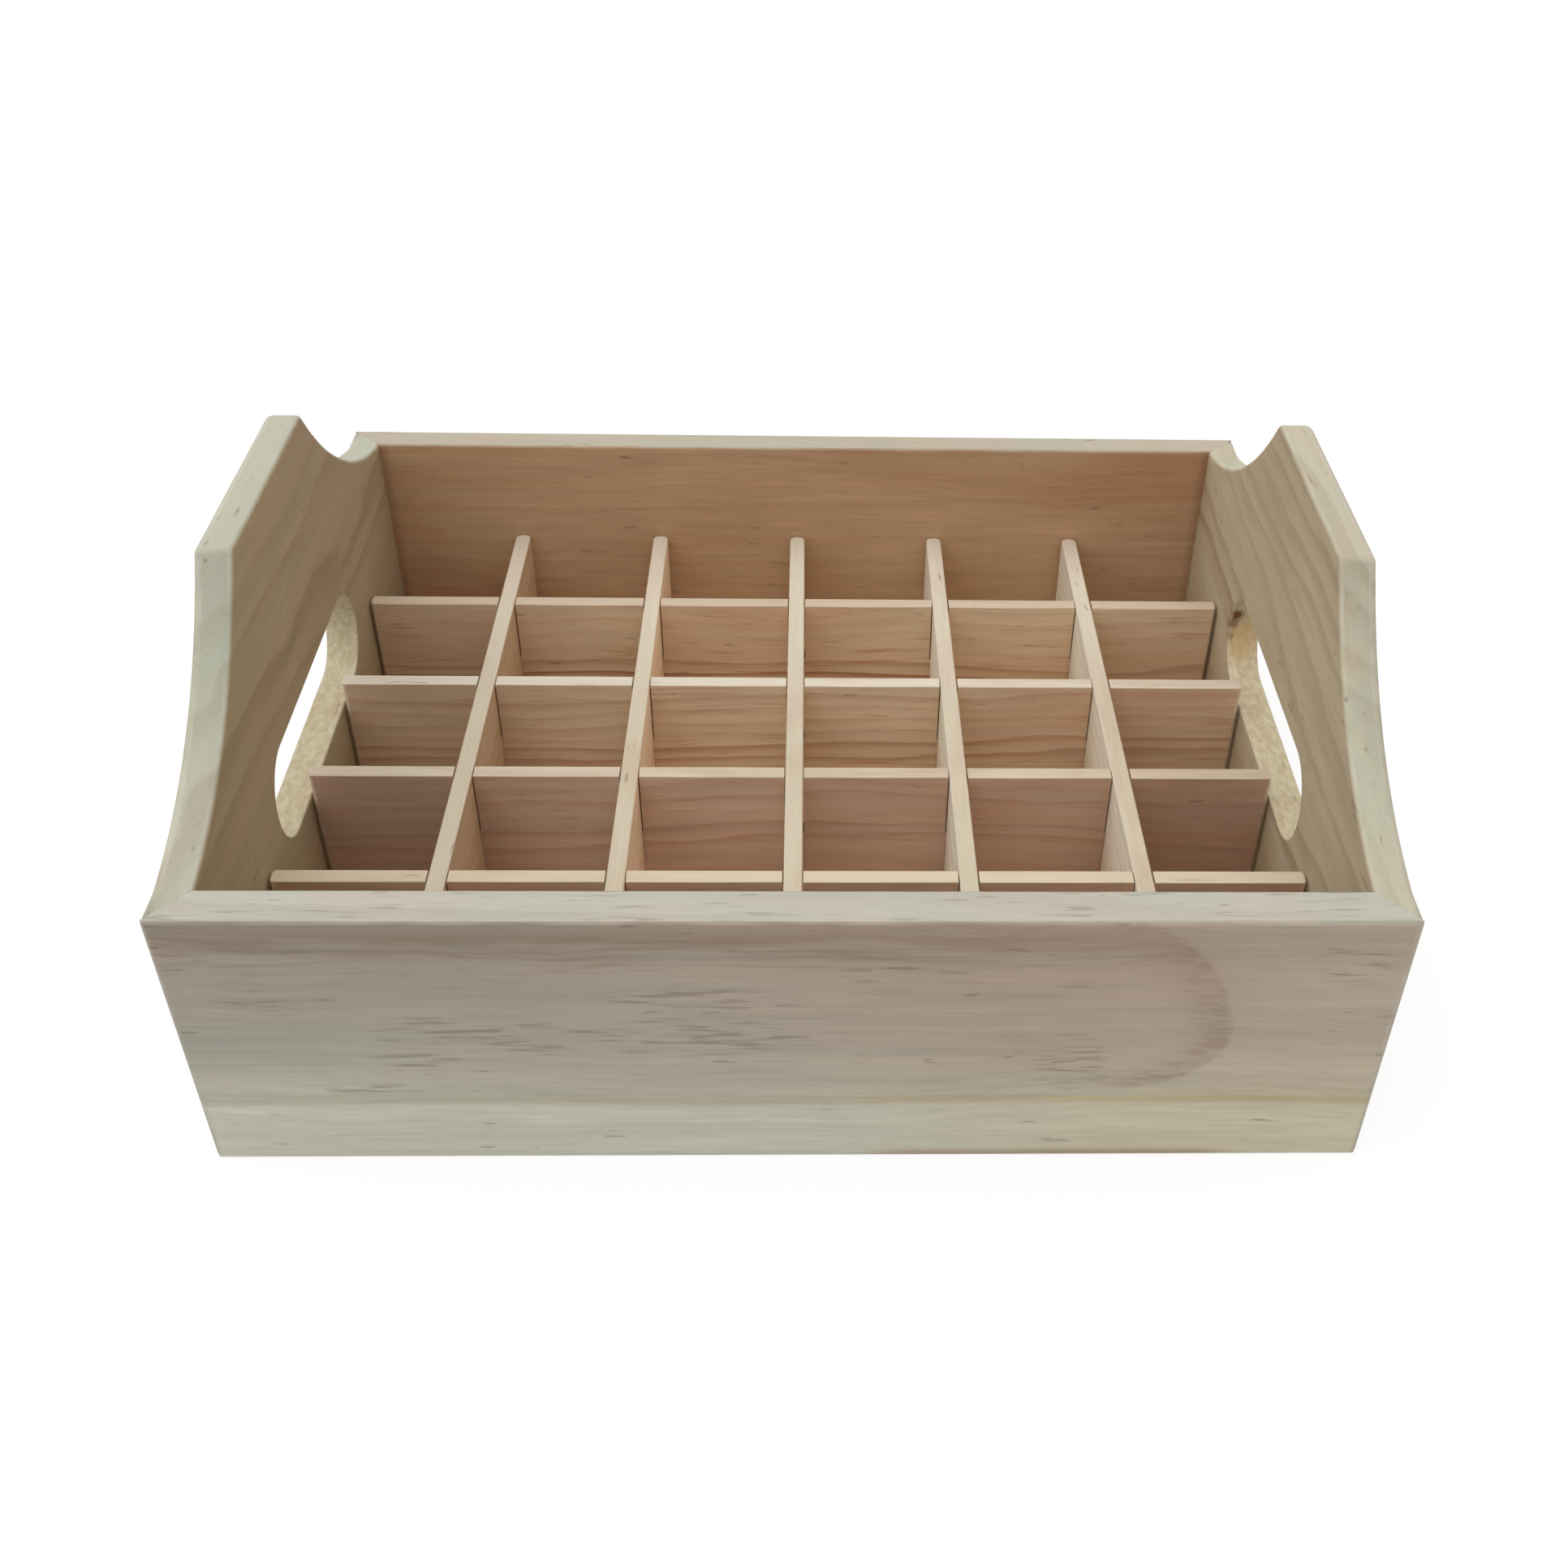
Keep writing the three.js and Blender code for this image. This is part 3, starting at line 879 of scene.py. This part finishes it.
leftLook = {
    "seed": 3.0, "heart": (-60.0, -100.0), "spacing": 9.0, "waver": 14.0, "lateShare": 0.5,
    # painted shade: these colours are the darker, shaded inner face, and the faces looking out are scaled
    # paler
    "fibreDepth": 0.2, "threadDepth": 0.24, "turned": (-1, (1.07, 1.2, 1.36)),
    "edge": colour(190, 191, 170), "edgePatch": colour(196, 191, 172),
    "early": colour(184, 164, 131), "late": colour(146, 124, 93), "blush": colour(171, 143, 110),
}
rightLook = {
    "seed": 4.0, "heart": (60.0, -100.0), "spacing": 6.0, "waver": 12.0, "lateShare": 0.85,
    "fibreDepth": 0.22, "threadDepth": 0.34, "edgeLateShare": 0.45,
    "edge": colour(194, 191, 168), "edgePatch": colour(201, 189, 165),
    "early": colour(197, 185, 157), "late": colour(150, 130, 99), "blush": colour(182, 162, 131),
}
frontBoard = makeBoard("frontBoard", "front_board", -1, makeFrontPine("frontPine", **frontLook))
backBoard = makeBoard("backBoard", "back_board", 1, makeBackPine("backPine", **backLook))
leftPanel = makePanel("leftEndPanel", "left_end_panel", -1, makePanelPine("leftPine", False, **leftLook))
rightPanel = makePanel("rightEndPanel", "right_end_panel", 1, makePanelPine("rightPine", True, **rightLook))
print("walls made")


# Brads and their holes

bradCut = {
    "shank": 0.6 * mm,
    "head": 1.0 * mm,
    "headThickness": 0.8 * mm,
    "headRound": 0.2 * mm,
    "roundMiddle": 0.3,  # its middle lies in from the corner by this share of it
    "pointLength": 2 * mm,
    "gap": 0.3 * mm,
    "mouth": 2 * mm,  # how far the hole's cutter reaches out of the wall
    "sides": 28,
}
steelLook = {
    "scuff": (900.0, 3000.0, 3000.0),  # noise scale per metre
    "seed": 3.0,
    "toneFade": (-0.15, 0.2),
    "pale": colour(176, 176, 178),
    "dark": colour(128, 126, 124),
    "glossFade": (-0.2, 0.25),
    "roughness": (0.32, 0.55),
    "reliefStrength": 0.3,
    "reliefDistance": 0.05 * mm,
}


def makeSteel(name):
    material, tree, shader = startMaterial(name)
    spot = tree.nodes.new("ShaderNodeTexCoord").outputs["Object"]
    scuff = cloud(spot, steelLook["scuff"], steelLook["seed"], detail=3.0, roughness=0.6)
    base = tinted(fade(scuff, *steelLook["toneFade"]), steelLook["pale"], steelLook["dark"])
    rough = fade(scuff, *steelLook["glossFade"], *steelLook["roughness"])
    tree.links.new(base, shader.inputs["Base Color"])
    tree.links.new(rough, shader.inputs["Roughness"])
    addRelief(shader, scuff, steelLook)
    shader.inputs["Metallic"].default_value = 1.0
    return material


def spinOutline(bm, outline, top, inward):  # outline: depth from the head's top and radius
    verts = [bm.verts.new(top + inward * depth + Vector((0, 0, radius))) for depth, radius in outline]
    edges = [bm.edges.new(pair) for pair in zip(verts, verts[1:])]
    bmesh.ops.spin(bm, geom=verts + edges, cent=top, axis=inward, angle=2 * math.pi, steps=bradCut["sides"],
                   use_merge=True)
    bmesh.ops.remove_doubles(bm, verts=bm.verts[:], dist=mergeReach)
    faceOut(bm)


def makeBrad(node, material, holes):
    low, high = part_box(node)
    side = 1 if low.x > 0 else -1
    middle = (low + high) / 2
    top, inward = Vector((high.x if side > 0 else low.x, middle.y, middle.z)), Vector((-side, 0, 0))
    length = high.x - low.x
    shank, head, thick = bradCut["shank"], bradCut["head"], bradCut["headThickness"]
    turn, gap, mouth = bradCut["headRound"], bradCut["gap"], bradCut["mouth"]
    bulge = turn * bradCut["roundMiddle"]
    bm = startBlank()
    spinOutline(bm, [(0, 0), (0, head - turn), (bulge, head - bulge), (turn, head), (thick, head),
                     (thick, shank), (length - bradCut["pointLength"], shank), (length, 0)], top, inward)
    name = "brad" + node.removeprefix("brad").title().replace("_", "")
    smoothCurves(finishPiece(bm, name, node, "case", material))
    wide, deep, floor = head + gap, thick + gap, length + gap
    spinOutline(holes, [(-mouth, 0), (-mouth, wide), (deep, wide), (deep, shank + gap), (floor, shank + gap),
                        (floor, 0)], top, inward)


bradNodes = nodesNamed("brad_")
bradSteel = makeSteel("bradSteel")
holes = startBlank()
for node in bradNodes:
    makeBrad(node, bradSteel, holes)
holeCutter = addMesh("bradHoles", holes)
for wall in (frontBoard, backBoard, leftPanel, rightPanel):
    drill(wall, holeCutter)
    smoothCurves(wall)
bpy.data.objects.remove(holeCutter)
print("brads set:", len(bradNodes))


# Bottom panel

bottomCut = {"ease": 0.3 * mm, "easeSteps": 2}
plyLook = {
    "through": "Z", "heart": (30.0, 400.0), "spacing": 7.0, "waver": 40.0, "seed": 9.0,
    "early": colour(206, 176, 138), "late": colour(180, 142, 104), "blush": colour(188, 150, 112),
    "edge": colour(196, 166, 128),
}
plyCore = {"half": (0.45, 0.55), "share": 0.5}  # darker core ply, seen at the edge: half its thickness in mm


def makePly(name):
    wood = startPine(name, **plyLook)
    up = split(wood.grain)["Z"]
    away = apart(up, (baseLow.z + baseHigh.z) / 2 / mm)
    stain(wood, plyLook["late"], fade(away, *plyCore["half"], plyCore["share"], 0.0))
    return finishPine(wood)


def makeBottom():
    bm = startBlank()
    bmesh.ops.create_cube(bm, size=1.0)
    bmesh.ops.scale(bm, vec=baseHigh - baseLow, verts=bm.verts[:])
    bmesh.ops.translate(bm, vec=(baseHigh + baseLow) / 2, verts=bm.verts[:])
    easeEdges(bm, bm.edges[:], bottomCut["ease"], bottomCut["easeSteps"])
    smoothCurves(finishPiece(bm, "bottomPanel", "bottom_panel", "case", makePly("basePly")))


makeBottom()
print("bottom panel made")


# Dividers

dividerCut = {
    "ease": 0.6 * mm,
    "easeSteps": 3,
    "rowCorner": 0.8 * mm,  # round at the upright corners of the ends
    "columnCorner": 1.7 * mm,
    "cornerSteps": 4,
    "lapGap": 0.3 * mm,  # play at each side of a lap and between its floors
}
rowNodes = nodesNamed("row_divider_")
columnNodes = nodesNamed("column_divider_")


def makeDivider(name, node, body, crossers, isRow, material):
    bm = startBlank()
    low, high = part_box(node)
    axis = 0 if isRow else 1
    gap = dividerCut["lapGap"]
    corner = dividerCut["rowCorner" if isRow else "columnCorner"]
    notched, plain = (high.z, low.z) if isRow else (low.z, high.z)
    floor = (low.z + high.z) / 2 + (-gap / 2 if isRow else gap / 2)
    outline = [(low[axis], plain), (low[axis], notched)]
    for crosser in crossers:
        crossLow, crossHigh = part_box(crosser)
        start, end = crossLow[axis] - gap, crossHigh[axis] + gap
        outline += [(start, notched), (start, floor), (end, floor), (end, notched)]
    outline += [(high[axis], notched), (high[axis], plain)]
    spots = [(along, low.y, up) if isRow else (low.x, along, up) for along, up in outline]
    face = bm.faces.new([bm.verts.new(spot) for spot in spots])
    thicken(bm, [face], (0, high.y - low.y, 0) if isRow else (high.x - low.x, 0, 0))

    def atEnd(spot, reach):
        return min(spot[axis] - low[axis], high[axis] - spot[axis]) < reach

    def isUpright(edge):  # upright corners of the two ends
        first, second = (vert.co for vert in edge.verts)
        return abs(first.z - second.z) > mm and atEnd(first, near)

    def isRim(edge):  # along the top and bottom edges and round the ends, but not across a notch's mouth
        first, second = (vert.co for vert in edge.verts)
        level = all(min(spot.z - low.z, high.z - spot.z) < near for spot in (first, second))
        return level and (abs(first[axis] - second[axis]) > near or atEnd(first, 2 * corner))

    easeEdges(bm, [edge for edge in bm.edges if isUpright(edge)], corner, dividerCut["cornerSteps"])
    easeEdges(bm, [edge for edge in bm.edges if isRim(edge)], dividerCut["ease"], dividerCut["easeSteps"])
    smoothCurves(finishPiece(bm, name, node, body, material))


rowStain = {
    "lineFade": (0.02, 0.22),
    "line": colour(172, 106, 74),  # red lines along the grain
    "left": (-90.0, -50.0),  # darker ends, in mm along the row
    "right": (50.0, 90.0),
    "end": colour(152, 120, 102),
}
paintedTipLight = {  # painted light: the top edge is paler towards the back
    "along": (-20.0, 90.0),  # in mm along the column
    "share": 0.45,
    "colour": colour(236, 226, 208),
}


def makeRowPine(name, ends, lines, **changes):  # shares of the darker left and right ends, and of the lines
    wood = startPine(name, **changes)
    broad = wood.broad
    red = fade(wood.fibres["Thread"], *rowStain["lineFade"], 0.0, lines)
    stain(wood, rowStain["line"], red, broad)
    along = split(wood.grain)["X"]
    left = fade(along, *rowStain["left"], ends[0], 0.0)
    right = fade(along, *rowStain["right"], 0.0, ends[1])
    for share in (left, right):
        stain(wood, rowStain["end"], share, broad)
    return finishPine(wood)


def makeColumnPine(name, **changes):
    wood = startPine(name, **changes)
    along = split(wood.grain)["X"]
    # painted light on the top edge, rising towards the back
    pale = fade(along, *paintedTipLight["along"], 0.0, paintedTipLight["share"])
    stain(wood, paintedTipLight["colour"], pale, onNarrow(wood))
    return finishPine(wood)


rowLook = {
    "spacing": 3.4, "waver": 8.0, "lean": 0.02,
    "early": colour(224, 200, 170), "late": colour(184, 130, 98), "blush": colour(206, 164, 132),
    "edge": colour(217, 202, 178), "edgePatch": colour(208, 188, 163),
}
rowChanges = [  # from the front
    # painted shade: the front row is darker, as in the shade of the front board
    {"early": colour(188, 158, 132), "edge": colour(221, 206, 179), "edgePatch": colour(215, 197, 170),
     "lateShare": 0.4, "lines": 0.25, "ends": (0.0, 0.0)},
    {"early": colour(210, 182, 158), "late": colour(172, 118, 93), "blush": colour(192, 147, 122),
     "lateShare": 0.35, "lines": 0.35, "ends": (0.5, 0.4)},
    {"early": colour(224, 199, 168), "late": colour(172, 118, 83), "edge": colour(228, 217, 198),
     "edgePatch": colour(218, 201, 178), "lateShare": 0.85, "lines": 0.45, "ends": (0.35, 0.0)},
    {"early": colour(227, 203, 170), "late": colour(174, 120, 84), "edge": colour(212, 192, 168),
     "lateShare": 1.0, "lines": 0.55, "ends": (0.25, 0.0)},
]
columnLook = {
    **rowLook, "through": "X", "lateShare": 0.6, "blushShare": 0.35,
    "early": colour(239, 236, 219), "late": colour(215, 195, 169), "blush": colour(231, 218, 197),
    "edge": colour(214, 201, 176), "edgePatch": colour(206, 187, 163),
}
columnPaintedShade = [  # painted shade: how the faces to the right are darkened and warmed, from the left
    (0.8, 0.58, 0.43), (1.18, 0.92, 0.76), (1.12, 0.91, 0.78), (1.12, 0.91, 0.78), (1.12, 0.91, 0.78),
]
rowLog = {"seed": 5.0, "heart": (40.0, -70.0), "step": (20.0, -12.0)}  # each strip is sawn further on
columnLog = {"seed": 12.0, "heart": (40.0, -60.0), "step": (0.0, -14.0)}


def sawnFrom(log, index):  # seed and heart of one strip
    heart = tuple(start + step * index for start, step in zip(log["heart"], log["step"]))
    return {"seed": log["seed"] + index, "heart": heart}


for index, node in enumerate(rowNodes):
    changes = {**rowLook, **rowChanges[index], **sawnFrom(rowLog, index)}
    pine = makeRowPine(f"rowPine{index + 1}", **changes)
    makeDivider(f"rowDivider{index + 1}", node, "divider_rows", columnNodes, True, pine)
for index, node in enumerate(columnNodes):
    changes = {**columnLook, "turned": (1, columnPaintedShade[index]), **sawnFrom(columnLog, index)}
    pine = makeColumnPine(f"columnPine{index + 1}", **changes)
    makeDivider(f"columnDivider{index + 1}", node, f"column_{index + 1}", rowNodes, False, pine)
print("dividers made")


# Floor, light and camera

stageLook = {
    "floorSize": 8.0,
    "floorColour": (0.62, 0.62, 0.62, 1.0),
    "floorSeen": (0.25, 0.25, 0.25, 1.0),  # the camera sees a darker floor, lifted to white
    "floorLift": 0.8,
    "ambient": 0.5,
    "sunStrength": 1.65,
    "sunAngle": 110,  # a wide, soft source overhead
    "sunTilt": (2, -18, 0),  # a little from the left
}
cameraLook = {
    "place": (0.0043, -0.34588, 0.27635),
    "turn": (0.84251, -0.02165, -0.02396),
    "lens": 39.863,
    "sensor": 36.0,
    "shift": (-0.0541, 0.1051),
    "nearest": 0.01,  # nothing closer than this is drawn
}


def seenRay(tree):  # 1 for the camera and for mirror and glass rays
    path = tree.nodes.new("ShaderNodeLightPath").outputs
    seen = calc("MAXIMUM", path["Is Camera Ray"], path["Is Glossy Ray"])
    return calc("MAXIMUM", seen, path["Is Transmission Ray"])


def makeFloor():
    bm = bmesh.new()
    bmesh.ops.create_grid(bm, x_segments=1, y_segments=1, size=stageLook["floorSize"] / 2)
    floor = addMesh("floor", bm)
    material = bpy.data.materials.new("paleFloor")
    material.use_nodes = True
    tree = material.node_tree
    tree.nodes.clear()
    seen = seenRay(tree)
    shown = tinted(seen, stageLook["floorColour"], stageLook["floorSeen"])
    matte = put(tree, "ShaderNodeBsdfDiffuse", {"Color": shown})
    lift = put(tree, "ShaderNodeEmission", {"Strength": times(seen, stageLook["floorLift"])})
    both = put(tree, "ShaderNodeAddShader", {0: matte.outputs[0], 1: lift.outputs[0]})
    put(tree, "ShaderNodeOutputMaterial", {"Surface": both.outputs[0]})
    floor.data.materials.append(material)


def makeLight():
    scene = bpy.context.scene
    world = bpy.data.worlds.new("softRoom")
    world.use_nodes = True
    tree = world.node_tree
    sky = tree.nodes["Background"]
    sky.inputs["Color"].default_value = (1.0, 1.0, 1.0, 1.0)
    tree.links.new(calc("MAXIMUM", seenRay(tree), stageLook["ambient"]), sky.inputs["Strength"])
    scene.world = world
    lamp = bpy.data.lights.new("overhead", "SUN")
    lamp.energy = stageLook["sunStrength"]
    lamp.angle = math.radians(stageLook["sunAngle"])
    sun = addObject("overhead", lamp)
    sun.rotation_euler = [math.radians(part) for part in stageLook["sunTilt"]]
    scene.view_settings.view_transform = "Standard"


def makeCamera():
    lens = bpy.data.cameras.new("photoCamera")
    lens.lens = cameraLook["lens"]
    lens.sensor_width = cameraLook["sensor"]
    lens.shift_x, lens.shift_y = cameraLook["shift"]
    lens.clip_start = cameraLook["nearest"]
    camera = addObject("photoCamera", lens)
    camera.location = cameraLook["place"]
    camera.rotation_euler = cameraLook["turn"]
    bpy.context.scene.camera = camera


makeFloor()
makeLight()
makeCamera()
print("stage set")
